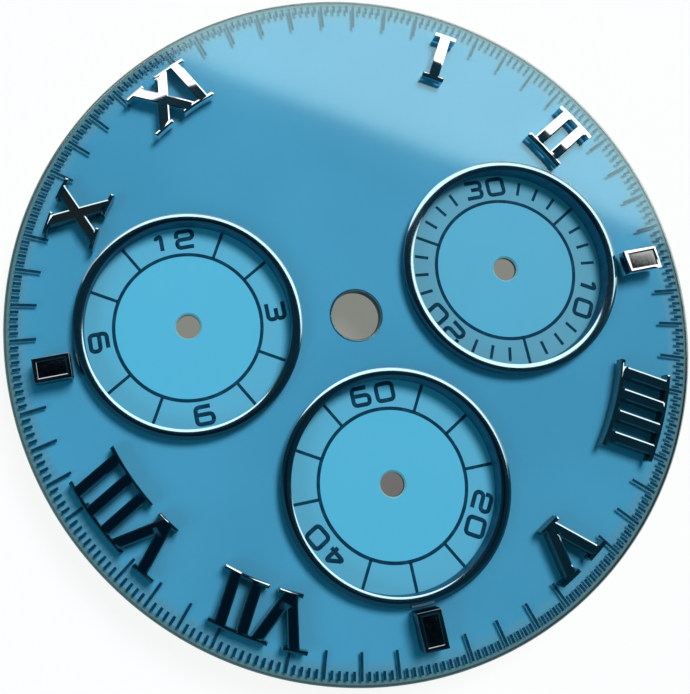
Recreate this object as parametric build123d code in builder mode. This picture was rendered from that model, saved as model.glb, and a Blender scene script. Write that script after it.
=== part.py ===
from build123d import *
from math import radians, sqrt, tan
import os

os.makedirs("parts", exist_ok=True)

# A three-counter chronograph dial, in millimetres. The origin is on the axis of the centre hole, on
# the back of the plate, where the dial lies on a movement. +Z points out of the face, +Y to 12 and
# +X to 3.

# Plate and clear coat
dial_radius = 14.75
plate_thickness = 0.5
plate_back_bevel = 0.08
coat_thickness = 0.2
coat_rim_bevel = 0.16
coat_hole_bevel = 0.03
centre_bore_radius = 1.06

# Applied numerals, in a band inside the printed minute track
track_width = 1.11
numeral_length = 2.18
numeral_height = 0.5
stroke_width = 0.46
stroke_spacing = 0.94  # from one upright stroke to the next
leg_lean_angle = 20.15  # degrees, from the letter's upright to each leg of a V
serif_thickness = 0.16
serif_length = 0.98
marker_bevel = 0.055

# Applied blocks at 3, 6 and 9: a raised frame round a sunk floor
block_outer_inset = 0.09  # from the numerals' outer circle to the block
block_inner_inset = 0.59  # from the numerals' inner circle to the block
block_width = 1.0
block_height = 0.8
block_frame_width = 0.17
block_recess_depth = 0.35
block_bevel = 0.07
block_foot_inset = 0.35  # from the end of a block to its foot

# Counters: each fills the room from the centre hole to the markers
ring_centre_gap = 1.3  # from the centre bore to a ring
ring_marker_gap = 0.19  # from a ring to the nearest block
side_counter_rise_height = 0.864
lower_counter_offset = 0.057  # the lower counter lies this much further out than the side ones
counter_flange_width = 0.38
counter_flange_thickness = 0.15
counter_boss_height = 0.1  # from the flange to the printed floor
post_bore_radius = 0.5
post_bore_bevel = 0.08
seat_clearance = 0.02

# Polished rings: a bevelled band lapping over the coat, and a collar down to the counter
ring_lap_width = 0.25
ring_collar_thickness = 0.15
ring_height = 0.36
ring_outer_bevel = 0.15
ring_inner_bevel = 0.1

# Feet: square tabs under the markers, and two stout pins that hold the dial on its movement
marker_foot_width = 0.26
foot_hole_clearance = 0.02
dial_foot_radius = 0.35
dial_foot_length = 1.6
dial_foot_base_radius = 0.7
dial_foot_base_height = 0.12
dial_foot_tip_bevel = 0.08
dial_foot_rim_distance = 2.15
dial_foot_angle = 45  # degrees clockwise from 12; the other foot is opposite

overrun_length = 0.3  # how far a cutting shape runs past what it cuts
hour_angle = 30  # degrees
bevel_limit_share = 0.4  # a bevel takes at most this share of the wall that it is on
coat_bevel_share = 0.8  # and at most this share of the coat, which is bevelled on one side only

# Levels along Z
plate_top = plate_thickness
face = plate_top + coat_thickness
counter_floor = counter_flange_thickness + counter_boss_height
ring_top = face + ring_height

# Circles of the markers
numeral_outer_radius = dial_radius - track_width
numeral_inner_radius = numeral_outer_radius - numeral_length
leg_spread_width = numeral_length * tan(radians(leg_lean_angle))
block_outer_radius = numeral_outer_radius - block_outer_inset
block_inner_radius = numeral_inner_radius + block_inner_inset
block_centre_radius = (block_outer_radius + block_inner_radius) / 2
block_length = block_outer_radius - block_inner_radius
block_foot_spacing = block_length - 2 * block_foot_inset
dial_foot_circle_radius = dial_radius - dial_foot_rim_distance

# Rings, and from them the windows, collars, counters and their seats
ring_near_edge = centre_bore_radius + ring_centre_gap
ring_far_edge = block_inner_radius - ring_marker_gap
ring_outer_radius = (ring_far_edge - ring_near_edge) / 2
side_counter_x = (ring_far_edge + ring_near_edge) / 2
lower_counter_y = -side_counter_x - lower_counter_offset
window_radius = ring_outer_radius - ring_lap_width
seat_radius = window_radius + counter_flange_width
boss_radius = window_radius - seat_clearance
flange_radius = seat_radius - seat_clearance
ring_inner_radius = boss_radius - ring_collar_thickness

counter_places = {
    "hour": (-side_counter_x, side_counter_rise_height),
    "minute": (side_counter_x, side_counter_rise_height),
    "second": (0, lower_counter_y),
}

# Letters of each numeral, with the place of each letter in shares of the stroke spacing, clockwise
letter_shares = {
    1: [("I", 0)],
    2: [("I", -0.5), ("I", 0.5)],
    4: [("I", -1.5), ("I", -0.5), ("I", 0.5), ("I", 1.5)],
    5: [("V", 0)],
    7: [("V", -0.8), ("I", 0.66), ("I", 1.63)],
    8: [("V", -1.3), ("I", 0.2), ("I", 1.16), ("I", 2.12)],
    10: [("X", 0)],
    11: [("X", -0.2), ("I", 1.3)],
}
# Strokes of each letter: where the outer and the inner end lie, in shares of the leg spread
stroke_shares = {
    "I": [(0, 0)],
    "V": [(-1, 0), (1, 0)],
    "X": [(-1, 1), (1, -1)],
}
# Feet of each numeral: which letter, which of its strokes, and how far out along the stroke
foot_shares = {
    1: [(0, 0, 0.25), (0, 0, 0.75)],
    2: [(0, 0, 0.3), (1, 0, 0.7)],
    4: [(0, 0, 0.5), (3, 0, 0.5)],
    5: [(0, 0, 0.85), (0, 1, 0.15)],
    7: [(0, 0, 0.15), (2, 0, 0.5)],
    8: [(0, 0, 0.15), (3, 0, 0.5)],
    10: [(0, 0, 0.85), (0, 0, 0.15)],
    11: [(0, 0, 0.5), (1, 0, 0.5)],
}
block_hours = (3, 6, 9)


def hour_plane(hour, height):
    # Seen from the front, X runs clockwise and Y outwards at that hour
    return Plane.XY.offset(height).rotated((0, 0, -hour_angle * hour))


def stroke_x(letter, place_share, stroke, out_share):
    outer_share, inner_share = stroke_shares[letter][stroke]
    lean_share = inner_share + (outer_share - inner_share) * out_share
    return place_share * stroke_spacing + lean_share * leg_spread_width


def stroke_outline(outer_x, inner_x):
    # The stroke runs past both serif circles, which trim it later
    slope = (outer_x - inner_x) / (numeral_outer_radius - numeral_inner_radius)
    half_width = stroke_width * sqrt(1 + slope**2) / 2
    low_y = numeral_inner_radius - overrun_length
    high_y = numeral_outer_radius + overrun_length
    low_x = inner_x - slope * overrun_length
    high_x = outer_x + slope * overrun_length
    return [
        (low_x - half_width, low_y),
        (low_x + half_width, low_y),
        (high_x + half_width, high_y),
        (high_x - half_width, high_y),
    ]


def numeral_sketch(hour):
    # Strokes trimmed to the ring between the serif circles, with a curved slab across each end
    outlines = []
    outer_ends = []
    inner_ends = []
    for letter, place_share in letter_shares[hour]:
        for stroke in range(len(stroke_shares[letter])):
            outer_x = stroke_x(letter, place_share, stroke, 1)
            inner_x = stroke_x(letter, place_share, stroke, 0)
            outlines.append(stroke_outline(outer_x, inner_x))
            outer_ends.append((outer_x, numeral_outer_radius))
            inner_ends.append((inner_x, numeral_inner_radius))
    slab_depth = numeral_outer_radius - numeral_inner_radius
    with BuildSketch() as slabs:
        with Locations(*outer_ends, *sorted(set(inner_ends))):
            Rectangle(serif_length, slab_depth)
        with BuildSketch(mode=Mode.INTERSECT):
            Circle(numeral_outer_radius)
            Circle(numeral_outer_radius - serif_thickness, mode=Mode.SUBTRACT)
            Circle(numeral_inner_radius + serif_thickness)
            Circle(numeral_inner_radius, mode=Mode.SUBTRACT)
    with BuildSketch() as glyph:
        for outline in outlines:
            with BuildLine():
                Polyline(*outline, close=True)
            make_face()
        with BuildSketch(mode=Mode.INTERSECT):
            Circle(numeral_outer_radius)
            Circle(numeral_inner_radius, mode=Mode.SUBTRACT)
        add(slabs.sketch)
    return glyph.sketch


def numeral_foot_places(hour):
    places = []
    for letter_index, stroke, out_share in foot_shares[hour]:
        letter, place_share = letter_shares[hour][letter_index]
        radius = numeral_inner_radius + (numeral_outer_radius - numeral_inner_radius) * out_share
        places.append((stroke_x(letter, place_share, stroke, out_share), radius))
    return places


def block_foot_places():
    half_spacing = block_foot_spacing / 2
    return [(0, block_centre_radius - half_spacing), (0, block_centre_radius + half_spacing)]


# Where the markers' feet stand, by hour, in the plane of that hour
marker_foot_places = {hour: numeral_foot_places(hour) for hour in letter_shares}
for hour in block_hours:
    marker_foot_places[hour] = block_foot_places()

# The holes for those feet, each turned as its marker is
foot_hole_width = marker_foot_width + 2 * foot_hole_clearance
foot_hole_places = []
for hour, places in marker_foot_places.items():
    for x, y in places:
        foot_hole_places.append(hour_plane(hour, 0).location * Location((x, y, 0)))

# Brass plate: windows, centre bore, foot holes, and a counterbore behind each window
with BuildPart() as dial_plate:
    with BuildSketch():
        Circle(dial_radius)
        Circle(centre_bore_radius, mode=Mode.SUBTRACT)
        with Locations(*counter_places.values()):
            Circle(window_radius, mode=Mode.SUBTRACT)
    extrude(amount=plate_thickness)
    with BuildSketch():
        with Locations(*counter_places.values()):
            Circle(seat_radius)
    extrude(amount=counter_flange_thickness, mode=Mode.SUBTRACT)
    back_edges = dial_plate.edges().filter_by(GeomType.CIRCLE).group_by(Axis.Z)[0]
    rim_edge = back_edges.sort_by(SortBy.RADIUS)[-1]
    chamfer(rim_edge, min(plate_back_bevel, bevel_limit_share * plate_thickness))
    with BuildSketch():
        with Locations(*foot_hole_places):
            Rectangle(foot_hole_width, foot_hole_width)
    extrude(amount=plate_thickness, mode=Mode.SUBTRACT)
dial_plate.part.label = "dial_plate"
export_step(dial_plate.part, "parts/dial_plate.step")

# Clear coat over the whole face, bevelled at the rim and at the centre hole
with BuildPart() as clear_coat:
    with BuildSketch(Plane.XY.offset(plate_top)):
        Circle(dial_radius)
        Circle(centre_bore_radius, mode=Mode.SUBTRACT)
        with Locations(*counter_places.values()):
            Circle(window_radius, mode=Mode.SUBTRACT)
    extrude(amount=coat_thickness)
    top_edges = clear_coat.edges().filter_by(GeomType.CIRCLE).group_by(Axis.Z)[-1]
    by_radius = top_edges.sort_by(SortBy.RADIUS)
    coat_bevel_limit = coat_bevel_share * coat_thickness
    chamfer(by_radius[-1], min(coat_rim_bevel, coat_bevel_limit))
    chamfer(by_radius[0], min(coat_hole_bevel, coat_bevel_limit))
    with BuildSketch(Plane.XY.offset(plate_top)):
        with Locations(*foot_hole_places):
            Rectangle(foot_hole_width, foot_hole_width)
    extrude(amount=coat_thickness, mode=Mode.SUBTRACT)
clear_coat.part.label = "clear_coat"
export_step(clear_coat.part, "parts/clear_coat.step")

# Counters and their rings
for counter_name, place in counter_places.items():
    counter_plane = Plane(origin=(*place, 0), z_dir=(0, 0, 1))
    profile_plane = Plane(origin=(*place, 0), x_dir=(1, 0, 0), z_dir=(0, -1, 0))

    # Stepped disc: the flange lies in the counterbore and the boss stands in the window
    with BuildPart() as counter:
        with BuildSketch(counter_plane):
            Circle(flange_radius)
        extrude(amount=counter_flange_thickness)
        with BuildSketch(counter_plane):
            Circle(boss_radius)
        extrude(amount=counter_floor)
        with BuildSketch(counter_plane):
            Circle(post_bore_radius)
        extrude(amount=counter_floor, mode=Mode.SUBTRACT)
        mouth = counter.edges().filter_by(GeomType.CIRCLE).group_by(Axis.Z)[-1].sort_by(SortBy.RADIUS)[0]
        chamfer(mouth, min(post_bore_bevel, bevel_limit_share * counter_floor))
    counter.part.label = counter_name + "_counter"
    export_step(counter.part, "parts/" + counter_name + "_counter.step")

    # Ring turned about the counter's own axis: bevelled band above, collar in the window below
    with BuildPart() as ring:
        with BuildSketch(profile_plane):
            with BuildLine():
                Polyline(
                    (ring_inner_radius, counter_floor),
                    (boss_radius, counter_floor),
                    (boss_radius, face),
                    (ring_outer_radius, face),
                    (ring_outer_radius - ring_outer_bevel, ring_top),
                    (ring_inner_radius + ring_inner_bevel, ring_top),
                    (ring_inner_radius, ring_top - ring_inner_bevel),
                    close=True,
                )
            make_face()
        revolve(axis=Axis((*place, 0), (0, 0, 1)))
    ring.part.label = counter_name + "_counter_ring"
    export_step(ring.part, "parts/" + counter_name + "_counter_ring.step")

# Applied numerals with bevelled tops, and feet through the coat and the plate
numeral_bevel = min(marker_bevel, bevel_limit_share * serif_thickness)
for hour in letter_shares:
    glyph_sketch = numeral_sketch(hour)
    with BuildPart() as numeral:
        with BuildSketch(hour_plane(hour, face)):
            add(glyph_sketch)
        extrude(amount=numeral_height)
        chamfer(numeral.faces().sort_by(Axis.Z)[-1].edges(), numeral_bevel)
        with BuildSketch(hour_plane(hour, 0)):
            with Locations(*marker_foot_places[hour]):
                Rectangle(marker_foot_width, marker_foot_width)
        extrude(amount=face)
    numeral.part.label = "numeral_" + str(hour)
    export_step(numeral.part, "parts/numeral_" + str(hour) + ".step")

# Applied blocks: a bevelled frame round a sunk floor
block_edge_bevel = min(block_bevel, bevel_limit_share * block_frame_width)
for hour in block_hours:
    with BuildPart() as block:
        with BuildSketch(hour_plane(hour, face)):
            with Locations((0, block_centre_radius)):
                Rectangle(block_width, block_length)
        extrude(amount=block_height)
        with BuildSketch(hour_plane(hour, face + block_height)):
            with Locations((0, block_centre_radius)):
                Rectangle(block_width - 2 * block_frame_width, block_length - 2 * block_frame_width)
        extrude(amount=-block_recess_depth, mode=Mode.SUBTRACT)
        chamfer(block.faces().sort_by(Axis.Z)[-1].edges(), block_edge_bevel)
        with BuildSketch(hour_plane(hour, 0)):
            with Locations(*marker_foot_places[hour]):
                Rectangle(marker_foot_width, marker_foot_width)
        extrude(amount=face)
    block.part.label = "block_" + str(hour)
    export_step(block.part, "parts/block_" + str(hour) + ".step")

# Dial feet: turned copper pins with a flared base against the back of the plate
foot_angles = {"upper": dial_foot_angle, "lower": dial_foot_angle + 180}
for foot_name, foot_angle in foot_angles.items():
    foot_centre = Vector(0, dial_foot_circle_radius, 0).rotate(Axis.Z, -foot_angle)
    profile_plane = Plane(origin=foot_centre, x_dir=(1, 0, 0), z_dir=(0, -1, 0))
    tip_bevel = min(dial_foot_tip_bevel, bevel_limit_share * dial_foot_radius)
    with BuildPart() as dial_foot:
        with BuildSketch(profile_plane):
            with BuildLine():
                Polyline(
                    (0, 0),
                    (dial_foot_base_radius, 0),
                    (dial_foot_base_radius, -dial_foot_base_height),
                    (dial_foot_radius, -2 * dial_foot_base_height),
                    (dial_foot_radius, tip_bevel - dial_foot_length),
                    (dial_foot_radius - tip_bevel, -dial_foot_length),
                    (0, -dial_foot_length),
                    close=True,
                )
            make_face()
        revolve(axis=Axis(foot_centre, (0, 0, 1)))
    dial_foot.part.label = "dial_foot_" + foot_name
    export_step(dial_foot.part, "parts/dial_foot_" + foot_name + ".step")
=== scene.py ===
import math
import bmesh
import bpy
from mathutils import Euler, Matrix, Vector


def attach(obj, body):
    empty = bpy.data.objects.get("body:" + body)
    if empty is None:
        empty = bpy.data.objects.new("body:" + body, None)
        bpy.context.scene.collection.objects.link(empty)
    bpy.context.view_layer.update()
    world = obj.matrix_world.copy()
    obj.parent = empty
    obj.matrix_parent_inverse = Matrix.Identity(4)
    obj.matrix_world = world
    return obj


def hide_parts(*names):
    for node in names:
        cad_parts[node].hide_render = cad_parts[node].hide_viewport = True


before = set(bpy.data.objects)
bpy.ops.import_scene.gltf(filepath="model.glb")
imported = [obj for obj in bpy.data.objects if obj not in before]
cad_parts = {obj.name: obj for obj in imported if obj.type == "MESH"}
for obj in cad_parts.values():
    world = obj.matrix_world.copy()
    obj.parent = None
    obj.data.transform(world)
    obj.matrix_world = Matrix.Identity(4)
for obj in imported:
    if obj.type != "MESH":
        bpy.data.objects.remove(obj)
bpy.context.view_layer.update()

mm = 0.001

# Shapes are in millimetres, and mm turns them into Blender's metres where they are used.
# These heights over the back of the plate and these hole radii are the solids' own.
levels = {"floor": 0.25, "paint": 0.5, "face": 0.7}
bores = {"centre": 1.06, "window": 4.5}
counters = {
    "hour": Vector((-7.11, 0.864, 0)) * mm,
    "minute": Vector((7.11, 0.864, 0)) * mm,
    "second": Vector((0, -7.167, 0)) * mm,
}
dialAxis = Vector((0, 0, 0))
hourAngle = 30  # degrees
white = (1, 1, 1, 1)


def compass(degrees):
    # Level direction, clockwise from 12
    turn = math.radians(degrees)
    return Vector((math.sin(turn), math.cos(turn), 0))


def clockwise(degrees, size):
    return Matrix.Rotation(-math.radians(degrees), size, "Z")


# Shader maths: a socket that can be added, multiplied and compared in plain Python
class Wire:
    def __init__(self, tree, socket):
        self.tree = tree
        self.socket = socket

    def math(self, operation, *values):
        return self.tree.add("ShaderNodeMath", {"operation": operation}, dict(enumerate(values))).out(0)

    def __add__(self, other):
        return self.math("ADD", self, other)

    def __sub__(self, other):
        return self.math("SUBTRACT", self, other)

    def __rsub__(self, other):
        return self.math("SUBTRACT", other, self)

    def __mul__(self, other):
        return self.math("MULTIPLY", self, other)

    def __gt__(self, other):
        return self.math("GREATER_THAN", self, other)

    def __lt__(self, other):
        return self.math("LESS_THAN", self, other)

    def __or__(self, other):  # either of two masks
        return self.math("MAXIMUM", self, other)

    def root(self):
        return self.math("SQRT", self)

    def sine(self):
        return self.math("SINE", self)

    __radd__ = __add__
    __rmul__ = __mul__


class Placed:
    def __init__(self, tree, node):
        self.tree = tree
        self.node = node

    def out(self, name):
        return Wire(self.tree, self.node.outputs[name])


class Finish:
    # The node tree of one material or of the world, with one method that adds any node to it
    def __init__(self, name, holder=None):
        self.holder = holder or bpy.data.materials.new(name)
        self.holder.use_nodes = True
        self.nodes = self.holder.node_tree.nodes
        self.links = self.holder.node_tree.links
        self.nodes.clear()

    def add(self, kind, settings=None, sockets=None):
        node = self.nodes.new(kind)
        for key, value in (settings or {}).items():
            setattr(node, key, value)
        for key, value in (sockets or {}).items():
            if isinstance(value, Wire):
                self.links.new(value.socket, node.inputs[key])
            else:
                node.inputs[key].default_value = value
        return Placed(self, node)

    def place(self):
        return self.add("ShaderNodeTexCoord").out("Object")

    def axes(self, vector):
        split = self.add("ShaderNodeSeparateXYZ", {}, {"Vector": vector})
        return split.out("X"), split.out("Y"), split.out("Z")

    def radius(self, x, y, centre):
        dx = x - centre.x
        dy = y - centre.y
        return (dx * dx + dy * dy).root()

    def noise(self, vector, scale, detail):
        sockets = {"Vector": vector, "Scale": scale, "Detail": detail}
        return self.add("ShaderNodeTexNoise", {}, sockets).out("Fac")

    def blend(self, mask, low, high):
        return self.add("ShaderNodeMix", {"data_type": "RGBA"}, {0: mask, 6: low, 7: high}).out(2)

    def ramp(self, value, low, high, dark=0.0, light=1.0):
        sockets = {"Value": value, "From Min": low, "From Max": high, "To Min": dark, "To Max": light}
        return self.add("ShaderNodeMapRange", {"interpolation_type": "SMOOTHSTEP"}, sockets).out("Result")

    def bump(self, height, strength, distance):
        sockets = {"Height": height, "Strength": strength, "Distance": distance}
        return self.add("ShaderNodeBump", {}, sockets).out("Normal")

    def seenDirectly(self):
        # The rays that see the studio itself: the camera's, and those that mirror or pass through
        ray = self.add("ShaderNodeLightPath")
        return ray.out("Is Camera Ray") | ray.out("Is Glossy Ray") | ray.out("Is Transmission Ray")

    def principled(self, sockets):
        return self.add("ShaderNodeBsdfPrincipled", {}, sockets).out("BSDF")

    def glow(self, colour):
        return self.add("ShaderNodeEmission", {}, {"Color": colour, "Strength": 1.0}).out("Emission")

    def mix(self, mask, first, second):
        return self.add("ShaderNodeMixShader", {}, {0: mask, 1: first, 2: second}).out("Shader")

    def output(self, shader, kind="ShaderNodeOutputMaterial"):
        self.add(kind, {}, {"Surface": shader})
        return self.holder


# In every look a noise is (scale, detail) and a bump is (strength, depth). A range holds the readings
# between which a mask or a roughness changes, and a varied roughness is (least, most).

# Plate: ice blue paint on the front and in the centre hole, turned brass elsewhere. Round the centre hole and
# down its wall the paint is darkened, a painted shade.
paintLook = {
    "blue": (0.103, 0.352, 0.530, 1), "deepBlue": (0.088, 0.316, 0.482, 1),
    "cloudNoise": (95.0, 2.0), "cloudRange": (0.35, 0.65),
    "trackBlue": (0.130, 0.328, 0.460, 1), "trackRange": (13.75 * mm, 14.0 * mm),
    "rimGrey": (0.148, 0.222, 0.242, 1), "rimRange": (14.42 * mm, 14.52 * mm),
    "boreShade": (0.010, 0.055, 0.080, 1), "boreRadius": 1.15 * mm, "boreFoot": 0.02 * mm,
    "brass": (0.60, 0.42, 0.16, 1), "dullBrass": (0.46, 0.31, 0.12, 1), "turnedNoise": (900.0, 4.0),
    "paintFoot": (levels["paint"] - 0.01) * mm, "specular": 0.08, "roughness": (0.30, 0.40),
    "grainNoise": (5200.0, 2.0), "grainRange": (0.3, 0.7), "grainBump": (0.02, 0.004 * mm),
}


def makePlatePaint(look):
    finish = Finish("Ice blue paint on brass")
    spot = finish.place()
    x, y, z = finish.axes(spot)
    radius = finish.radius(x, y, dialAxis)
    cloud = finish.noise(spot, *look["cloudNoise"])
    grain = finish.noise(spot, *look["grainNoise"])
    turned = finish.noise(spot, *look["turnedNoise"])
    bore = radius < look["boreRadius"]
    paint = finish.blend(finish.ramp(cloud, *look["cloudRange"]), look["blue"], look["deepBlue"])
    paint = finish.blend(finish.ramp(radius, *look["trackRange"]), paint, look["trackBlue"])
    paint = finish.blend(finish.ramp(radius, *look["rimRange"]), paint, look["rimGrey"])
    # Painted shade: the paint round the centre hole and on its wall is made dark
    paint = finish.blend(bore, paint, look["boreShade"])
    metal = finish.blend(turned, look["brass"], look["dullBrass"])
    painted = (z > look["paintFoot"]) | bore * (z > look["boreFoot"])
    return finish.output(finish.principled({
        "Base Color": finish.blend(painted, metal, paint),
        "Metallic": 1 - painted,
        "Roughness": finish.ramp(grain, *look["grainRange"], *look["roughness"]),
        "Specular IOR Level": look["specular"],
        "Normal": finish.bump(grain, *look["grainBump"]),
    }))


# Clear coat: polish adds to what the surface mirrors, and the rounded rim turns grey
coatLook = {
    "tint": (0.93, 0.975, 0.985, 1), "sheen": (0.62, 0.93, 0.93, 1), "roughness": 0.085,
    "refraction": 1.5, "polish": 0.055, "waveNoise": (130.0, 2.0), "waveBump": (0.25, 0.02 * mm),
    "rimGrey": (0.105, 0.135, 0.135, 1), "rimRoughness": 0.35,
    "rimRange": (14.61 * mm, 14.69 * mm), "rimShare": 0.9,
}


def makeClearGloss(look):
    # A clear layer that doesn't bend light, so the print's shadow falls on the paint below it
    finish = Finish("Clear polished coat")
    spot = finish.place()
    x, y = finish.axes(spot)[:2]
    normal = finish.bump(finish.noise(spot, *look["waveNoise"]), *look["waveBump"])
    clear = finish.add("ShaderNodeBsdfTransparent", {}, {"Color": look["tint"]}).out("BSDF")
    gloss = finish.add("ShaderNodeBsdfGlossy", {}, {
        "Color": look["sheen"], "Roughness": look["roughness"], "Normal": normal,
    }).out("BSDF")
    edge = finish.principled({
        "Base Color": look["rimGrey"], "Roughness": look["rimRoughness"], "Normal": normal,
    })
    fresnel = finish.add("ShaderNodeFresnel", {}, {"IOR": look["refraction"], "Normal": normal}).out("Fac")
    front = 1 - finish.add("ShaderNodeNewGeometry").out("Backfacing")
    rim = finish.ramp(finish.radius(x, y, dialAxis), *look["rimRange"], 0.0, look["rimShare"])
    body = finish.mix(rim * front, clear, edge)
    return finish.output(finish.mix((fresnel + look["polish"]) * (1 - rim) * front, body, gloss))


# Counters: a plain face, a grooved chapter round it, and a brass back. The minute counter's face and chapter
# are painted darker than the others', a painted shade.
counterLook = {
    "face": (0.092, 0.390, 0.566, 1), "chapter": (0.100, 0.352, 0.508, 1), "chapterRadius": 3.12 * mm,
    # Painted shade: the minute counter is darker than the other two
    "own": {"minute": {"face": (0.092, 0.340, 0.495, 1), "chapter": (0.104, 0.284, 0.388, 1)}},
    "cloudBlue": (0.07, 0.40, 0.60, 1),
    "cloudNoise": (240.0, 2.0), "cloudRange": (0.3, 0.7), "cloudShare": 0.12,
    # The post hole's chamfer is painted, in a blue paler than the face: a painted highlight
    "mouth": (0.20, 0.42, 0.47, 1), "mouthRadius": 0.64 * mm, "mouthTop": (levels["floor"] - 0.004) * mm,
    # The post hole's wall is painted dark, a painted shade
    "bore": (0.016, 0.070, 0.095, 1), "boreRadius": 0.505 * mm, "boreFoot": 0.02 * mm,
    "brass": (0.60, 0.42, 0.16, 1), "paintFoot": (levels["floor"] - 0.1) * mm,
    "specular": 0.2, "roughness": (0.37, 0.50),
    "grainNoise": (5200.0, 2.0), "grainRange": (0.3, 0.7), "grainBump": (0.15, 0.004 * mm),
    "grooveScale": 90000.0, "grooveShare": 0.4,
}


def makeCounterFace(name, look):
    look = dict(look, **look["own"].get(name, {}))
    finish = Finish(name + " counter paint")
    spot = finish.place()
    x, y, z = finish.axes(spot)
    radius = finish.radius(x, y, counters[name])
    grain = finish.noise(spot, *look["grainNoise"])
    cloud = finish.noise(spot, *look["cloudNoise"])
    chapter = radius > look["chapterRadius"]
    bore = radius < look["boreRadius"]
    mouth = (radius < look["mouthRadius"]) * (z < look["mouthTop"])
    paint = finish.blend(chapter, look["face"], look["chapter"])
    cloud = finish.ramp(cloud, *look["cloudRange"], 0.0, look["cloudShare"])
    paint = finish.blend(cloud, paint, look["cloudBlue"])
    # Painted highlight: the post hole's chamfer is made pale
    paint = finish.blend(mouth, paint, look["mouth"])
    # Painted shade on the post hole's wall
    paint = finish.blend(bore, paint, look["bore"])
    painted = (z > look["paintFoot"]) | bore * (z > look["boreFoot"])
    groove = (radius * look["grooveScale"]).sine()
    return finish.output(finish.principled({
        "Base Color": finish.blend(painted, look["brass"], paint),
        "Metallic": 1 - painted,
        "Roughness": finish.ramp(grain, *look["grainRange"], *look["roughness"]),
        "Specular IOR Level": look["specular"],
        "Normal": finish.bump(grain + groove * chapter * look["grooveShare"], *look["grainBump"]),
    }))


# Polished steel, faintly smeared and waved. Each kind gives its upright walls a painted tone of their own: a
# painted shade darker than the top on most kinds, and a painted light paler than the top on the bright kind.
steelLook = {
    "colour": (0.54, 0.56, 0.57, 1), "warm": (0.50, 0.49, 0.47, 1), "roughness": (0.03, 0.06),
    "smearNoise": (1400.0, 4.0), "smearRange": (0.4, 0.7), "dullRange": (0.35, 0.75),
    "waveNoise": (700.0, 2.0), "waveBump": (0.5, 0.0015 * mm), "levelRange": (0.1, 0.5),
}


def makeSteel(name, own):
    look = dict(steelLook, **own)
    finish = Finish(name)
    spot = finish.place()
    wave = finish.noise(spot, *look["waveNoise"])
    smear = finish.noise(spot, *look["smearNoise"])
    colour = finish.blend(finish.ramp(smear, *look["smearRange"]), look["colour"], look["warm"])
    level = finish.axes(finish.add("ShaderNodeNewGeometry").out("True Normal"))[2]
    return finish.output(finish.principled({
        # Upright walls take the painted wall tone, level faces the steel's own colour
        "Base Color": finish.blend(finish.ramp(level, *look["levelRange"]), look["paintedWallTone"], colour),
        "Metallic": 1.0,
        "Roughness": finish.ramp(smear, *look["dullRange"], *look["roughness"]),
        "Normal": finish.bump(wave, *look["waveBump"]),
    }))


# Dull paint in two shades: the navy print, and the walls inside the windows, painted blue and made darker
# than the counter faces, a painted shade
printLook = {
    "first": (0.004, 0.030, 0.060, 1), "second": (0.007, 0.050, 0.095, 1),
    "patchNoise": (3000.0, 3.0), "patchRange": (0.4, 0.75), "patchBump": (0.2, 0.002 * mm),
    "roughness": 0.5, "specular": 0.05,
}
wallLook = {
    "first": (0.020, 0.130, 0.215, 1), "second": (0.013, 0.090, 0.155, 1),
    "patchNoise": (3000.0, 2.0), "patchRange": (0.3, 0.7), "patchBump": (0.2, 0.004 * mm),
    "roughness": 0.5, "specular": 0.25,
}


def makeDullPaint(name, look):
    finish = Finish(name)
    patch = finish.noise(finish.place(), *look["patchNoise"])
    return finish.output(finish.principled({
        "Base Color": finish.blend(finish.ramp(patch, *look["patchRange"]), look["first"], look["second"]),
        "Roughness": look["roughness"],
        "Specular IOR Level": look["specular"],
        "Normal": finish.bump(patch, *look["patchBump"]),
    }))


# Dial feet: stained copper with fine lines from the lathe
copperLook = {
    "bright": (0.72, 0.38, 0.24, 1), "dull": (0.42, 0.20, 0.12, 1), "stainNoise": (1100.0, 4.0),
    "stainRange": (0.35, 0.7), "dullRange": (0.3, 0.7), "roughness": (0.22, 0.45),
    "latheScale": 160000.0, "latheBump": (0.25, 0.003 * mm),
}


def makeCopper(look):
    finish = Finish("Turned copper")
    spot = finish.place()
    stain = finish.noise(spot, *look["stainNoise"])
    lathe = (finish.axes(spot)[2] * look["latheScale"]).sine()
    return finish.output(finish.principled({
        "Base Color": finish.blend(finish.ramp(stain, *look["stainRange"]), look["bright"], look["dull"]),
        "Metallic": 1.0,
        "Roughness": finish.ramp(stain, *look["dullRange"], *look["roughness"]),
        "Normal": finish.bump(lathe + stain, *look["latheBump"]),
    }))


def dress(node, material):
    # Gives a solid of the CAD model its finish
    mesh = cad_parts[node].data
    mesh.materials.clear()
    mesh.materials.append(material)


clearCoat = makeClearGloss(coatLook)
navyPrint = makeDullPaint("Navy print", printLook)
wallPaint = makeDullPaint("Painted window wall", wallLook)
copper = makeCopper(copperLook)
dress("dial_plate", makePlatePaint(paintLook))
for name in counters:
    dress(name + "_counter", makeCounterFace(name, counterLook))
for name in ("upper", "lower"):
    dress("dial_foot_" + name, copper)
print("finishes made")


# Camera at the photograph's place, worked out from the dial's outline and counters. Its turn is in
# degrees about X, Y and Z.
cameraPlace = {
    "place": Vector((-8.8091, -5.2987, 37.8525)), "turn": (13.3097, -5.2059, -11.3375),
    "sensor": 36.0, "lens": 46.686, "shift": (0.12458, -0.11254), "clip": (1 * mm, 2.0),
}


def makeCamera(values):
    data = bpy.data.cameras.new("Camera")
    data.sensor_width = values["sensor"]
    data.lens = values["lens"]
    data.shift_x, data.shift_y = values["shift"]
    data.clip_start, data.clip_end = values["clip"]
    camera = bpy.data.objects.new("Camera", data)
    bpy.context.scene.collection.objects.link(camera)
    turn = Euler([math.radians(angle) for angle in values["turn"]])
    camera.matrix_world = Matrix.Translation(values["place"] * mm) @ turn.to_matrix().to_4x4()
    bpy.context.scene.camera = camera


makeCamera(cameraPlace)
print("camera placed")


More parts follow.
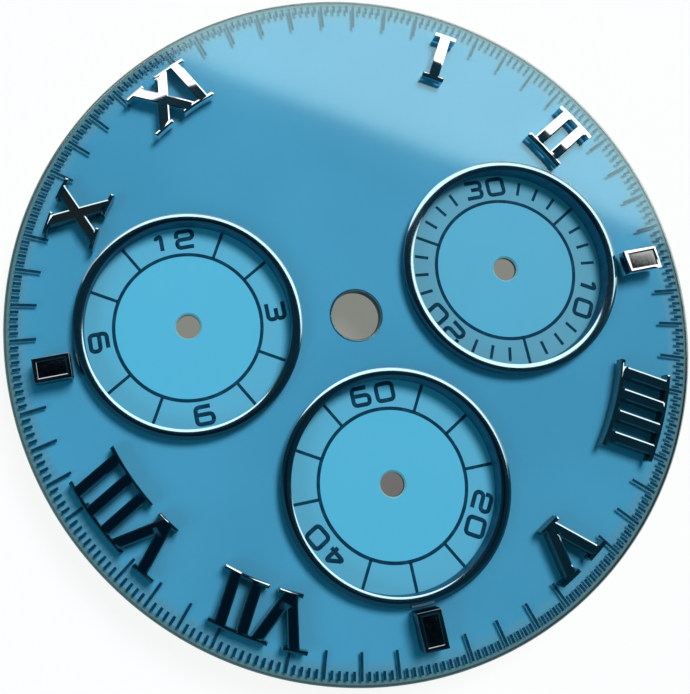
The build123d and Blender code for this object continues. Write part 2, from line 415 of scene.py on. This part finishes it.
mergeGap = 0.0005 * mm  # corners nearer than this become one
upright = (0, 0, 1)


def finishPiece(name, mesh, material, smoothAngle=None):
    data = bpy.data.meshes.new(name)
    mesh.to_mesh(data)
    mesh.free()
    data.materials.append(material)
    if smoothAngle:
        data.shade_smooth()
        data.set_sharp_from_angle(angle=math.radians(smoothAngle))
    piece = bpy.data.objects.new(name, data)
    bpy.context.scene.collection.objects.link(piece)
    return piece


def spinProfile(mesh, points, centre, steps):
    # Turn a closed outline of (radius, height) points about the upright axis through a centre
    verts = [mesh.verts.new((centre.x + r * mm, centre.y, z * mm)) for r, z in points]
    edges = [mesh.edges.new(pair) for pair in zip(verts, verts[1:] + verts[:1])]
    bmesh.ops.spin(
        mesh, geom=verts + edges, cent=centre, axis=upright,
        angle=2 * math.pi, steps=steps, use_merge=True,
    )
    bmesh.ops.remove_doubles(mesh, verts=mesh.verts, dist=mergeGap)
    bmesh.ops.recalc_face_normals(mesh, faces=mesh.faces)


def quarterTurn(steps):
    return [math.radians(90 * i / steps) for i in range(steps + 1)]


# Polished rings: a rounded crest lapping over the coat, and a painted collar inside the window
ringLook = {
    # Painted shade: the ring steel is darker and bluer than the marker steel, and its walls darker still
    "colour": (0.25, 0.375, 0.43, 1), "warm": (0.24, 0.355, 0.40, 1), "paintedWallTone": (0.14, 0.27, 0.34, 1),
    "roughness": (0.10, 0.13), "waveNoise": (500.0, 2.0), "waveBump": (0.5, 0.002 * mm),
}
ringShape = {
    "outer": 4.75, "crest": 4.55, "inner": 4.33, "collar": 4.48,
    "shoulder": 1.003, "lip": 1.008, "top": 1.06, "bareLip": 0.02,
    "steps": 256, "archSteps": 6, "smoothAngle": 30,
}
ringSteel = makeSteel("Polished ring steel", ringLook)


def archPoints(ends, crest, top, steps):
    # Points of a round arch from one shoulder over the crest to the other, as (radius, height)
    points = []
    for edge, shoulder in ends:
        reach, drop = abs(edge - crest), top - shoulder
        bow = (reach * reach + drop * drop) / (2 * drop)
        radii = [crest + (edge - crest) * i / steps for i in range(steps + 1)]
        side = [(r, top - bow + math.sqrt(bow * bow - (r - crest) ** 2)) for r in radii]
        points += side[1:] if points else side[::-1]
    return points


def makeRing(name, centre, shape):
    mesh = bmesh.new()
    points = [
        (shape["inner"], levels["floor"]), (shape["collar"], levels["floor"]),
        (shape["collar"], levels["face"]), (shape["outer"], levels["face"]),
    ]
    ends = [(shape["outer"], shape["shoulder"]), (shape["inner"], shape["lip"])]
    points += archPoints(ends, shape["crest"], shape["top"], shape["archSteps"])
    spinProfile(mesh, points, centre, shape["steps"])
    ring = finishPiece(name + "_ring", mesh, ringSteel, shape["smoothAngle"])
    ring.data.materials.append(wallPaint)
    for face in ring.data.polygons:
        under = face.center.z < (shape["lip"] - shape["bareLip"]) * mm
        if under and (face.center - centre).xy.length < shape["collar"] * mm:
            face.material_index = 1
    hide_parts(name + "_counter_ring")
    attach(ring, "root")


for name in counters:
    makeRing(name, counters[name], ringShape)
print("rings turned")


# Clear coat with a rounded rim, cut out at the centre hole and the three windows
coatShape = {
    "radius": 14.744, "foot": levels["paint"] + 0.002, "top": levels["face"], "steps": 360, "smoothAngle": 40,
    "rimRound": 0.17, "rimSteps": 8, "boreRound": 0.08, "boreSteps": 4,
    "windowSteps": 256, "windowDepth": 2, "levelLimit": 0.999,
}


def cutWindows(coat, shape):
    mesh = bmesh.new()
    radius = bores["window"] * mm
    for centre in counters.values():
        bmesh.ops.create_cone(
            mesh, cap_ends=True, segments=shape["windowSteps"], radius1=radius, radius2=radius,
            depth=shape["windowDepth"] * mm, matrix=Matrix.Translation(centre),
        )
    cutter = finishPiece("coat_cutter", mesh, clearCoat)
    cut = coat.modifiers.new("Windows", "BOOLEAN")
    cut.object = cutter
    cut.solver = "EXACT"
    bpy.context.view_layer.update()
    done = bpy.data.meshes.new_from_object(coat.evaluated_get(bpy.context.evaluated_depsgraph_get()))
    coat.modifiers.clear()
    coat.data = done
    bpy.data.objects.remove(cutter)


def makeCoatPiece(shape):
    mesh = bmesh.new()
    rim, lip = shape["rimRound"], shape["boreRound"]
    points = [(bores["centre"], shape["foot"]), (shape["radius"], shape["foot"])]
    for turn in quarterTurn(shape["rimSteps"]):
        radius = shape["radius"] - rim + rim * math.cos(turn)
        points.append((radius, shape["top"] - rim + rim * math.sin(turn)))
    for turn in quarterTurn(shape["boreSteps"]):
        radius = bores["centre"] + lip * (1 - math.sin(turn))
        points.append((radius, shape["top"] - lip * (1 - math.cos(turn))))
    spinProfile(mesh, points, dialAxis, shape["steps"])
    coat = finishPiece("coat_layer", mesh, clearCoat)
    cutWindows(coat, shape)
    coat.data.shade_smooth()
    coat.data.set_sharp_from_angle(angle=math.radians(shape["smoothAngle"]))
    for face in coat.data.polygons:  # level faces stay flat, so that they mirror the card without a twist
        face.use_smooth = abs(face.normal.z) < shape["levelLimit"]
    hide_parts("clear_coat")
    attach(coat, "root")


makeCoatPiece(coatShape)
print("coat made")


# Applied markers, of steel in four shades from bright to nearly black. The four shades are painted light and
# shade on one and the same steel.
markerLooks = {
    "bright": {"paintedWallTone": (0.85, 0.92, 0.94, 1)},
    "dull": {"paintedWallTone": (0.18, 0.21, 0.22, 1), "colour": (0.38, 0.46, 0.49, 1), "warm": (0.37, 0.44, 0.46, 1)},
    "dim": {"paintedWallTone": (0.18, 0.21, 0.22, 1), "colour": (0.29, 0.36, 0.385, 1), "warm": (0.28, 0.345, 0.36, 1)},
    "black": {"paintedWallTone": (0.06, 0.09, 0.11, 1), "colour": (0.20, 0.21, 0.23, 1), "warm": (0.20, 0.20, 0.21, 1)},
}
markerSteels = {kind: makeSteel("Marker steel in painted light and shade, " + kind, look) for kind, look in markerLooks.items()}


def angleOf(node):
    return hourAngle * int(node.split("_")[1])


# Numerals keep the solids' own outlines. Each top leans and bows a little and has a shallower bevel,
# so that it mirrors the studio as the photographed one does. A lean is height per length along X and
# Y, a bow is a curve per millimetre, and a foot is the height at which the bevel starts.
numeralShape = {
    # A numeral's steel kind is a painted light or shade, and a painted shade end gives its inner end wall the
    # black steel
    "steel": "dull", "lean": (0, 0), "bow": 0.02, "foot": 1.182, "paintedShadeEnd": False,
    "own": {
        "numeral_1": {
            "steel": "bright", "lean": (-0.0185, -0.032), "bow": 0.06,
            "foot": 1.197, "serifFoot": 1.198, "paintedShadeEnd": True,
        },
        "numeral_2": {
            "steel": "bright", "lean": (-0.0147, -0.0085), "bow": 0.06, "serifFoot": 1.198, "paintedShadeEnd": True,
        },
        "numeral_4": {"steel": "dim", "serifFoot": 1.191, "innerFoot": 1.197},
        "numeral_5": {"steel": "dim", "serifFoot": 1.191},
        "numeral_7": {"serifFoot": 1.191},
        "numeral_8": {"foot": 1.189, "serifFoot": 1.191},
        "numeral_10": {"steel": "dim"},
        "numeral_11": {"steel": "bright", "lean": (0.0125, 0.0209), "bow": 0.06},
    },
    "middleRadius": 12.55, "serifStart": 13.3, "innerEnd": 11.8,
    "slices": 18, "sliceStart": 11.4, "sliceEnd": 13.7, "sliceGap": 0.0002,
    "topFrom": 1.1, "topSkin": 0.01, "endFrom": 0.98, "endFacing": -0.8, "flatAngle": 1, "smoothAngle": 12,
}


def cutAcross(mesh, place, direction, shape):
    # Only adds edges where a plane crosses the mesh
    everything = list(mesh.verts) + list(mesh.edges) + list(mesh.faces)
    gap = shape["sliceGap"] * mm
    bmesh.ops.bisect_plane(mesh, geom=everything, dist=gap, plane_co=place * mm, plane_no=direction)


def shapeTop(mesh, out, shape):
    highest = max(vert.co.z for vert in mesh.verts)
    lean = Vector(shape["lean"]).to_3d()
    middle = out * shape["middleRadius"] * mm
    for vert in [v for v in mesh.verts if v.co.z >= shape["topFrom"] * mm]:
        away = vert.co - middle
        away.z = 0
        if vert.co.z < highest - shape["topSkin"] * mm:
            foot = shape["foot"]
            if vert.co.dot(out) > shape["serifStart"] * mm:
                foot = shape.get("serifFoot", foot)
            if vert.co.dot(out) < shape["innerEnd"] * mm:
                foot = shape.get("innerFoot", foot)
            vert.co.z = foot * mm
        vert.co.z -= lean.dot(away) + shape["bow"] / mm / 2 * away.dot(out) ** 2


def makeNumeral(node, shape):
    shape = dict(shape, **shape["own"].get(node, {}))
    mesh = bmesh.new()
    mesh.from_mesh(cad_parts[node].data)
    bmesh.ops.remove_doubles(mesh, verts=mesh.verts, dist=mergeGap)
    flat = math.radians(shape["flatAngle"])
    bmesh.ops.dissolve_limit(mesh, angle_limit=flat, verts=mesh.verts, edges=mesh.edges)
    out = compass(angleOf(node))
    span = shape["sliceEnd"] - shape["sliceStart"]
    for i in range(shape["slices"]):
        cutAcross(mesh, out * (shape["sliceStart"] + span * (i + 0.5) / shape["slices"]), out, shape)
    cutAcross(mesh, Vector((0, 0, shape["endFrom"])), upright, shape)
    shapeTop(mesh, out, shape)
    bmesh.ops.recalc_face_normals(mesh, faces=mesh.faces)
    marker = finishPiece(node + "_polished", mesh, markerSteels[shape["steel"]], shape["smoothAngle"])
    # Painted shade: the inner end wall is given the black steel
    if shape["paintedShadeEnd"]:  # the end towards the centre is black under its edge
        marker.data.materials.append(markerSteels["black"])
        for face in marker.data.polygons:
            atEnd = face.center.dot(out) < shape["innerEnd"] * mm and face.center.z > shape["endFrom"] * mm
            if atEnd and face.normal.dot(out) < shape["endFacing"]:
                face.material_index = 1
    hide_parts(node)
    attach(marker, "root")


# Blocks: a polished frame round a brushed floor, which is domed by two steps of (width, rise).
# A leaning top is let down by its lean over half a diagonal, so that no corner stands over the solid's.
blockShape = {
    # A block's steel kind is painted light and shade: black by default, bright for block_3
    "steel": "black", "lean": (0, 0), "own": {"block_3": {"steel": "bright", "lean": (0.0245, 0.041)}},
    "length": 1.5, "width": 1.0, "middle": 12.80, "foot": levels["face"], "top": 1.5, "halfDiagonal": 0.9,
    "rounding": 0.018, "roundingSteps": 3, "frame": 0.16, "slope": 0.09, "slopeDepth": 0.035, "recess": 0.08,
    "dome": [(0.10, 0.014), (0.10, 0.006)], "topSkin": 0.01, "satinFrom": 0.1, "smoothAngle": 35,
}
# The two satin shades, bright and black, are painted light and shade on one brushed floor
satinLooks = {
    "bright": {"dark": (0.145, 0.15, 0.15, 1), "light": (0.18, 0.18, 0.175, 1), "roughness": (0.21, 0.30)},
    "black": {"dark": (0.040, 0.042, 0.050, 1), "light": (0.055, 0.056, 0.066, 1), "roughness": (0.18, 0.27)},
}
brushLook = {"brushNoise": (6500.0, 3.0), "brushRange": (0.3, 0.7), "brushBump": (0.08, 0.002 * mm)}


def makeSatin(kind, look):
    # The sunk floor of a block, brushed rather than polished
    look = dict(brushLook, **look)
    finish = Finish("Satin block floor, " + kind)
    brush = finish.noise(finish.place(), *look["brushNoise"])
    return finish.output(finish.principled({
        "Base Color": finish.blend(finish.ramp(brush, *look["brushRange"]), look["dark"], look["light"]),
        "Metallic": 1.0,
        "Roughness": finish.ramp(brush, *look["brushRange"], *look["roughness"]),
        "Normal": finish.bump(brush, *look["brushBump"]),
    }))


blockFloors = {kind: makeSatin(kind, look) for kind, look in satinLooks.items()}


def sinkFloor(mesh, shape):
    # Inset the frame, slope down inside it, drop to the floor and dome that
    top = max(mesh.faces, key=lambda face: (round(face.calc_center_median().z, 7), face.calc_area()))
    rounding = shape["rounding"]
    bmesh.ops.inset_region(mesh, faces=[top], thickness=(shape["frame"] - rounding) * mm, depth=0)
    bmesh.ops.inset_region(mesh, faces=[top], thickness=shape["slope"] * mm, depth=-shape["slopeDepth"] * mm)
    sunk = bmesh.ops.extrude_discrete_faces(mesh, faces=[top])["faces"]
    drop = (shape["recess"] - shape["slopeDepth"]) * mm
    bmesh.ops.translate(mesh, vec=(0, 0, -drop), verts=[v for face in sunk for v in face.verts])
    for width, rise in shape["dome"]:
        bmesh.ops.inset_region(mesh, faces=sunk, thickness=width * mm, depth=rise * mm)


def makeBlock(node, shape):
    shape = dict(shape, **shape["own"].get(node, {}))
    mesh = bmesh.new()
    bmesh.ops.create_cube(mesh, size=1.0)
    size = Vector((shape["width"], shape["length"], shape["top"] - shape["foot"])) * mm
    bmesh.ops.scale(mesh, vec=size, verts=mesh.verts)
    top = max(mesh.faces, key=lambda face: face.calc_center_median().z)
    corners = [e for e in mesh.edges if abs(e.verts[0].co.z - e.verts[1].co.z) > size.z / 2]
    bmesh.ops.bevel(
        mesh, geom=list(top.edges) + corners, offset=shape["rounding"] * mm,
        affect="EDGES", segments=shape["roundingSteps"], profile=0.5, material=-1,
    )
    sinkFloor(mesh, shape)
    out = compass(angleOf(node))
    bmesh.ops.rotate(mesh, cent=dialAxis, matrix=clockwise(angleOf(node), 3), verts=mesh.verts)
    bmesh.ops.translate(mesh, vec=(0, 0, (shape["top"] + shape["foot"]) / 2 * mm), verts=mesh.verts)
    lean = Vector(shape["lean"]).to_3d()
    for vert in mesh.verts:
        if vert.co.z > (shape["top"] - shape["slopeDepth"] - shape["topSkin"]) * mm:
            vert.co.z -= lean.dot(vert.co) + lean.length * shape["halfDiagonal"] * mm
    bmesh.ops.translate(mesh, vec=out * shape["middle"] * mm, verts=mesh.verts)
    bmesh.ops.recalc_face_normals(mesh, faces=mesh.faces)
    block = finishPiece(node + "_polished", mesh, markerSteels[shape["steel"]], shape["smoothAngle"])
    block.data.materials.append(blockFloors[shape["steel"]])
    reach = (Vector((shape["width"], shape["length"])) / 2 - Vector((shape["frame"], shape["frame"]))) * mm
    for face in block.data.polygons:  # all that lies inside the frame is satin
        away = face.center - out * shape["middle"] * mm
        inside = abs(away.dot(out)) < reach.y and abs(away.cross(out).z) < reach.x
        if inside and face.center.z > (shape["foot"] + shape["satinFrom"]) * mm:
            face.material_index = 1
    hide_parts(node)
    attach(block, "root")


markerNodes = sorted(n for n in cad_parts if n.startswith(("numeral_", "block_")))
for node in markerNodes:
    if node.startswith("numeral_"):
        makeNumeral(node, numeralShape)
    else:
        makeBlock(node, blockShape)
print("markers polished:", len(markerNodes))


def addBar(mesh, reach, layer, width, angle, centre=dialAxis):
    # A flat bar along a radius, from one reach and height to the other, its angle clockwise from 12
    made = bmesh.ops.create_cube(mesh, size=1.0)["verts"]
    size = Vector((width, reach[1] - reach[0], layer[1] - layer[0])) * mm
    bmesh.ops.scale(mesh, vec=size, verts=made)
    middle = Vector((0, reach[0] + reach[1], layer[0] + layer[1])) / 2 * mm
    bmesh.ops.translate(mesh, vec=middle, verts=made)
    bmesh.ops.rotate(mesh, cent=dialAxis, matrix=clockwise(angle, 3), verts=made)
    bmesh.ops.translate(mesh, vec=centre, verts=made)


# Printed minute track, with its long lines between the applied markers
trackShape = {
    "short": (14.12, 14.47), "long": (13.40, 14.47), "width": 0.118,
    "layer": (levels["face"] - 0.008, levels["face"] - 0.004), "divisions": 300, "longEvery": 6,
}


def makeTrack(shape):
    mesh = bmesh.new()
    applied = {hourAngle * hour for hour in range(1, 12)}
    for i in range(shape["divisions"]):
        angle = 360 * i / shape["divisions"]
        isLong = angle % shape["longEvery"] == 0 and angle not in applied
        addBar(mesh, shape["long" if isLong else "short"], shape["layer"], shape["width"], angle)
    track = finishPiece("minute_track", mesh, navyPrint)
    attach(track, "root")


makeTrack(trackShape)
print("minute track printed")


# Counter prints: a circle, radial lines and numbers drawn as strokes
counterPrint = {
    "circle": (3.045, 3.19), "circleSteps": 160, "line": (3.16, 4.33), "tick": (3.5, 4.1), "lineWidth": 0.13,
    "layer": (levels["floor"], levels["floor"] + 0.006),
    "digitHeight": 0.88, "digitWidth": 0.87, "digitMiddle": 3.77, "digitStroke": 0.175,
    "digitSpacing": 1.05, "cornerShare": 0.5, "roundSteps": 2, "curveSteps": 6,
}
# Angles clockwise from 12 in degrees. A number stands with its head outwards, unless it is turned round.
counterMarks = {
    "hour": {
        "numbers": {0: "12", 90: "3", 180: "6", 270: "9"}, "turned": [180],
        "lines": [30, 60, 120, 150, 210, 240, 300, 330], "ticks": [],
    },
    "second": {
        "numbers": {0: "60", 120: "20", 240: "40"}, "turned": [],
        "lines": [30, 60, 90, 150, 180, 210, 270, 300, 330], "ticks": [],
    },
    "minute": {
        "numbers": {0: "30", 120: "10", 240: "20"}, "turned": [], "lines": [60, 180, 300],
        "ticks": [angle for angle in range(0, 360, 12) if angle % 60 and angle % 120 not in (12, 108)],
    },
}
# Each digit as strokes through a box from -1 to 1, with True where the stroke closes on itself
digitStrokes = {
    "0": [([(-1, -1), (1, -1), (1, 1), (-1, 1)], True)],
    "1": [([(-0.45, 0.6), (0.1, 1), (0.1, -1)], False)],
    "2": [([(-1, 0.45), (-1, 1), (1, 1), (1, 0), (-1, 0), (-1, -1), (1, -1)], False)],
    "3": [
        ([(-1, 1), (1, 1), (1, 0.05), (-0.3, 0.05)], False),
        ([(-0.3, 0.05), (1, 0.05), (1, -1), (-1, -1)], False),
    ],
    "4": [([(0.55, -1), (0.55, 1), (-1, -0.45), (1.1, -0.45)], False)],
    "6": [([(0.8, 1), (-1, 1), (-1, -1), (1, -1), (1, 0.1), (-1, 0.1)], False)],
    "9": [([(-0.8, -1), (1, -1), (1, 1), (-1, 1), (-1, -0.1), (1, -0.1)], False)],
}


def roundedPath(points, closed, corner):
    # Keep each corner and add a point on either side, so that a smooth curve cuts it only there
    path = []
    count = len(points)
    for i, point in enumerate(points):
        here = Vector(point)
        if not closed and i in (0, count - 1):
            path.append(here)
            continue
        before = Vector(points[i - 1])
        after = Vector(points[(i + 1) % count])
        path.append(here + (before - here).normalized() * corner)
        path.append(here)
        path.append(here + (after - here).normalized() * corner)
    return path


def strokeMesh(digit, values):
    curve = bpy.data.curves.new("stroke", "CURVE")
    curve.dimensions = "3D"
    curve.bevel_depth = values["digitStroke"] / 2
    curve.bevel_resolution = values["roundSteps"]
    curve.use_fill_caps = True
    curve.resolution_u = values["curveSteps"]
    halfWidth = (values["digitWidth"] - values["digitStroke"]) / 2
    halfHeight = (values["digitHeight"] - values["digitStroke"]) / 2
    for points, closed in digitStrokes[digit]:
        points = [(x * halfWidth, y * halfHeight) for x, y in points]
        path = roundedPath(points, closed, values["cornerShare"] * 2 * halfHeight)
        spline = curve.splines.new("NURBS")
        spline.points.add(len(path) - 1)
        for target, point in zip(spline.points, path):
            target.co = (point.x, point.y, 0, 1)
        spline.order_u = 3
        spline.use_endpoint_u = not closed
        spline.use_cyclic_u = closed
    holder = bpy.data.objects.new("stroke", curve)
    bpy.context.scene.collection.objects.link(holder)
    bpy.context.view_layer.update()
    made = bpy.data.meshes.new_from_object(holder.evaluated_get(bpy.context.evaluated_depsgraph_get()))
    bpy.data.objects.remove(holder)
    return made


def addNumber(mesh, text, angle, centre, values, turned):
    # The round strokes are pressed flat into the print's thin layer
    bottom, top = values["layer"]
    flat = Matrix.Diagonal((mm, mm, mm * (top - bottom) / values["digitStroke"], 1))
    for i, digit in enumerate(text):
        side = (i - (len(text) - 1) / 2) * values["digitSpacing"]
        glyph = strokeMesh(digit, values)
        rise = Matrix.Translation(Vector((side, values["digitMiddle"], (bottom + top) / 2)) * mm)
        if turned:
            rise = rise @ Matrix.Rotation(math.pi, 4, "Z")
        glyph.transform(Matrix.Translation(centre) @ clockwise(angle, 4) @ rise @ flat)
        mesh.from_mesh(glyph)
        bpy.data.meshes.remove(glyph)


def makeCounterPrint(name, centre, marks, values):
    mesh = bmesh.new()
    (inner, outer), (bottom, top) = values["circle"], values["layer"]
    circle = [(inner, bottom), (outer, bottom), (outer, top), (inner, top)]
    spinProfile(mesh, circle, centre, values["circleSteps"])
    for kind in ("line", "tick"):
        for angle in marks[kind + "s"]:
            addBar(mesh, values[kind], values["layer"], values["lineWidth"], angle, centre)
    for angle, text in marks["numbers"].items():
        addNumber(mesh, text, angle, centre, values, angle in marks["turned"])
    piece = finishPiece(name + "_counter_print", mesh, navyPrint)
    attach(piece, "root")


for name in counters:
    makeCounterPrint(name, counters[name], counterMarks[name], counterPrint)
print("counters printed")


# Studio floor: white, but grey where it shows through the dial's upper holes and its lower hole. The grey is
# a painted shade of the dial on the floor.
floorLook = {
    "size": 1.2, "height": -1.6 * mm, "openRange": (9 * mm, 13.5 * mm), "upperRange": (-8 * mm, 0.0),
    "upperHoleShade": (0.250, 0.262, 0.235, 1), "lowerHoleShade": (0.165, 0.162, 0.162, 1),
    "paper": (0.8, 0.8, 0.8, 1), "roughness": 0.9, "glowShare": 0.9,
}


def makeFloor(look):
    mesh = bmesh.new()
    bmesh.ops.create_grid(mesh, x_segments=1, y_segments=1, size=look["size"] / 2)
    bmesh.ops.translate(mesh, vec=(0, 0, look["height"]), verts=mesh.verts)
    finish = Finish("White paper floor")
    x, y = finish.axes(finish.place())[:2]
    openFloor = finish.ramp(finish.radius(x, y, dialAxis), *look["openRange"])
    # Painted shade under the dial, lighter under the upper holes
    shade = finish.blend(finish.ramp(y, *look["upperRange"]), look["lowerHoleShade"], look["upperHoleShade"])
    paper = finish.principled({"Base Color": look["paper"], "Roughness": look["roughness"]})
    glow = finish.glow(finish.blend(openFloor, shade, white))
    mixed = finish.mix(finish.seenDirectly() * look["glowShare"], paper, glow)
    floor = finishPiece("floor", mesh, finish.output(mixed))


makeFloor(floorLook)


# Lamps: a bright card to the upper right that only polish shows, the key lamp that throws the shadows,
# and a soft lamp on the left. Lengths are in millimetres and angles in degrees, and an azimuth is
# clockwise from 12.
cardLamp = {"azimuth": 31, "near": 78.3, "height": 150, "width": 420, "depth": 190, "power": 0.5}
keyLamp = {"azimuth": 42, "elevation": 60, "reach": 450, "size": 200, "power": 2.11}
leftLamp = {"place": Vector((-60, -22, 48)), "size": 40, "power": 0.015, "colour": (0.3, 0.85, 1.0)}


def hideFrom(thing, rays):
    for ray in rays:
        setattr(thing, "visible_" + ray, False)


def addLamp(name, shape, size, power, matrix, hidden):
    data = bpy.data.lights.new(name, "AREA")
    data.shape = shape
    data.size = size * mm
    data.energy = power
    lamp = bpy.data.objects.new(name, data)
    bpy.context.scene.collection.objects.link(lamp)
    lamp.matrix_world = matrix
    hideFrom(lamp, hidden)
    return lamp


def aimedFrom(place):
    # At a place in millimetres, shining at the middle of the dial
    return Matrix.Translation(place * mm) @ place.to_track_quat("Z", "Y").to_matrix().to_4x4()


def makeCard(values):
    place = compass(values["azimuth"]) * (values["near"] + values["depth"] / 2)
    place.z = values["height"]
    matrix = Matrix.Translation(place * mm) @ clockwise(values["azimuth"], 4)
    card = addLamp("Card", "RECTANGLE", values["width"], values["power"], matrix, ["camera", "diffuse"])
    card.data.size_y = values["depth"] * mm


def makeKey(values):
    rise = math.radians(values["elevation"])
    place = (compass(values["azimuth"]) * math.cos(rise) + Vector((0, 0, math.sin(rise)))) * values["reach"]
    addLamp("Key", "DISK", values["size"], values["power"], aimedFrom(place), ["camera", "glossy"])


def makeLeftLight(values):
    matrix = aimedFrom(values["place"])
    lamp = addLamp("LeftLight", "DISK", values["size"], values["power"], matrix, ["camera", "glossy"])
    lamp.data.color = values["colour"]


makeCard(cardLamp)
makeKey(keyLamp)
makeLeftLight(leftLamp)


# The dark side of the room, which only polished surfaces see: a card over the camera that ends where
# the bright one starts, and a tent from just below the horizon up. A deep and a warm patch lie overhead.
darkCard = {
    "width": 420, "depth": 118, "height": 152,
    "shades": [(0.007, 0.033, 0.054, 1), (0.013, 0.053, 0.083, 1)],
}
darkTent = {
    "radius": 360, "top": 6, "foot": 94, "archSteps": 8, "start": 95, "turn": 217, "turnSteps": 24,
    "shades": [(0.014, 0.095, 0.155, 1), (0.024, 0.135, 0.200, 1)],
}
roomReflectionLook = {
    "noise": (60.0, 3.0),
    "deep": (0.0016, 0.012, 0.026, 1), "warm": (0.032, 0.042, 0.047, 1),
    "deepPlace": Vector((-10, -25, 0)) * mm, "deepRange": (25 * mm, 60 * mm),
    "warmPlace": Vector((-20, 54, 0)) * mm, "warmRange": (4 * mm, 18 * mm),
}


# A dim glow that only reflections show: a painted reflection of the room, with a deep and a warm patch
def makeRoomReflection(name, shades, look):
    finish = Finish(name)
    spot = finish.place()
    x, y = finish.axes(spot)[:2]
    roomReflection = finish.blend(finish.noise(spot, *look["noise"]), *shades)
    for patch in ("deep", "warm"):
        reach = finish.radius(x, y, look[patch + "Place"])
        roomReflection = finish.blend(finish.ramp(reach, *look[patch + "Range"], 1.0, 0.0), roomReflection, look[patch])
    return finish.output(finish.glow(roomReflection))


def placeDark(name, mesh, roomReflection):
    dark = finishPiece(name, mesh, roomReflection)
    hideFrom(dark, ["camera", "diffuse", "shadow", "transmission"])


def makeDarkCard(values, bright):
    mesh = bmesh.new()
    bmesh.ops.create_grid(mesh, x_segments=1, y_segments=1, size=0.5)
    bmesh.ops.scale(mesh, vec=Vector((values["width"], values["depth"], 1)) * mm, verts=mesh.verts)
    turn = clockwise(bright["azimuth"], 3)
    bmesh.ops.rotate(mesh, cent=dialAxis, matrix=turn, verts=mesh.verts)
    place = compass(bright["azimuth"]) * (bright["near"] - values["depth"] / 2)
    place.z = values["height"]
    bmesh.ops.translate(mesh, vec=place * mm, verts=mesh.verts)
    placeDark("dark_card", mesh, makeRoomReflection("Dark card", values["shades"], roomReflectionLook))


def makeDarkTent(values):
    mesh = bmesh.new()
    steps = values["archSteps"]
    span = values["foot"] - values["top"]
    arc = [math.radians(values["top"] + span * i / steps) for i in range(steps + 1)]
    reach = values["radius"] * mm
    verts = [mesh.verts.new((0, reach * math.sin(turn), reach * math.cos(turn))) for turn in arc]
    edges = [mesh.edges.new(pair) for pair in zip(verts, verts[1:])]
    bmesh.ops.rotate(mesh, cent=dialAxis, matrix=clockwise(values["start"], 3), verts=verts)
    bmesh.ops.spin(
        mesh, geom=verts + edges, cent=dialAxis, axis=upright,
        angle=-math.radians(values["turn"]), steps=values["turnSteps"], use_merge=False,
    )
    placeDark("dark_tent", mesh, makeRoomReflection("Dark tent", values["shades"], roomReflectionLook))


makeDarkCard(darkCard, cardLamp)
makeDarkTent(darkTent)


# The room: white where it is seen, and a soft blue fill on what it lights
roomLight = {"fill": 0.20, "fillColour": (0.12, 0.88, 1.0, 1)}


def makeWorld(values):
    world = bpy.data.worlds.new("Studio")
    bpy.context.scene.world = world
    finish = Finish("Studio", world)
    shaders = []
    for colour, strength in ((values["fillColour"], values["fill"]), (white, 1.0)):
        sockets = {"Color": colour, "Strength": strength}
        shaders.append(finish.add("ShaderNodeBackground", {}, sockets).out("Background"))
    finish.output(finish.mix(finish.seenDirectly(), *shaders), "ShaderNodeOutputWorld")


makeWorld(roomLight)
bpy.context.scene.view_settings.view_transform = "Standard"
print("studio set")
